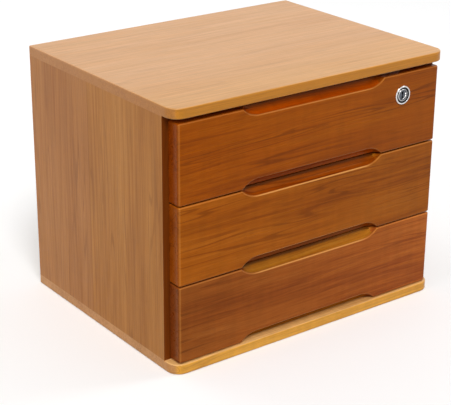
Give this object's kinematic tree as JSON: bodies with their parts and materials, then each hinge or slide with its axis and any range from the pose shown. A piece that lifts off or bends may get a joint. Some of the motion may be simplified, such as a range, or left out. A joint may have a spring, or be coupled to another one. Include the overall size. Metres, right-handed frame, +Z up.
{
  "type": "desktop file drawer",
  "caption": "Free-standing wooden desktop cabinet with full-width sliding drawers, routed finger openings along the drawer fronts and a round cam lock in the top drawer.",
  "frame": {"origin": "on the underside of the bottom board, at the middle of its width and depth", "axes": "+X to the right along the cabinet's width, +Y to its back, +Z up; the drawers open towards -Y"},
  "size_m": [0.39, 0.3, 0.31],
  "materials": {
    "board_wood": "clear satin lacquer",
    "side_wood": "clear satin lacquer",
    "front_wood": "stained, clear satin lacquer",
    "box_wood": "thin matt lacquer",
    "plywood": "thin matt lacquer",
    "chrome": "polished",
    "steel": "zinc plated"
  },
  "bodies": {
    "cabinet": {"top_board": "board_wood", "bottom_board": "board_wood", "left_side_panel": "side_wood", "right_side_panel": "side_wood", "back_panel": "plywood", "left_runner_1": "box_wood", "right_runner_1": "box_wood", "left_runner_2": "box_wood", "right_runner_2": "box_wood", "left_runner_3": "box_wood", "right_runner_3": "box_wood", "base_screws": "steel", "back_panel_screws": "steel", "runner_screws": "steel", "lock_keeper": "steel", "keeper_screws": "steel"},
    "drawer_1": {"drawer_1_front": "front_wood", "drawer_1_left_side": "box_wood", "drawer_1_right_side": "box_wood", "drawer_1_back": "box_wood", "drawer_1_bottom": "plywood", "lock_housing": "chrome", "lock_nut": "steel"},
    "drawer_2": {"drawer_2_front": "front_wood", "drawer_2_left_side": "box_wood", "drawer_2_right_side": "box_wood", "drawer_2_back": "box_wood", "drawer_2_bottom": "plywood"},
    "drawer_3": {"drawer_3_front": "front_wood", "drawer_3_left_side": "box_wood", "drawer_3_right_side": "box_wood", "drawer_3_back": "box_wood", "drawer_3_bottom": "plywood"},
    "lock": {"lock_plug": "chrome", "lock_cam": "steel", "lock_cam_screw": "steel"}
  },
  "joints": [
    {"name": "drawer_1_slide", "type": "slide", "parent": "cabinet", "child": "drawer_1", "axis": [0, -1, 0], "range_m": [0, 0.2]},
    {"name": "drawer_2_slide", "type": "slide", "parent": "cabinet", "child": "drawer_2", "axis": [0, -1, 0], "range_m": [0, 0.2]},
    {"name": "drawer_3_slide", "type": "slide", "parent": "cabinet", "child": "drawer_3", "axis": [0, -1, 0], "range_m": [0, 0.2]},
    {"name": "lock_turn", "type": "hinge", "parent": "drawer_1", "child": "lock", "pos_m": [0.13, -0.124, 0.2663], "axis": [0, 1, 0], "range_deg": [0, 90]}
  ]
}
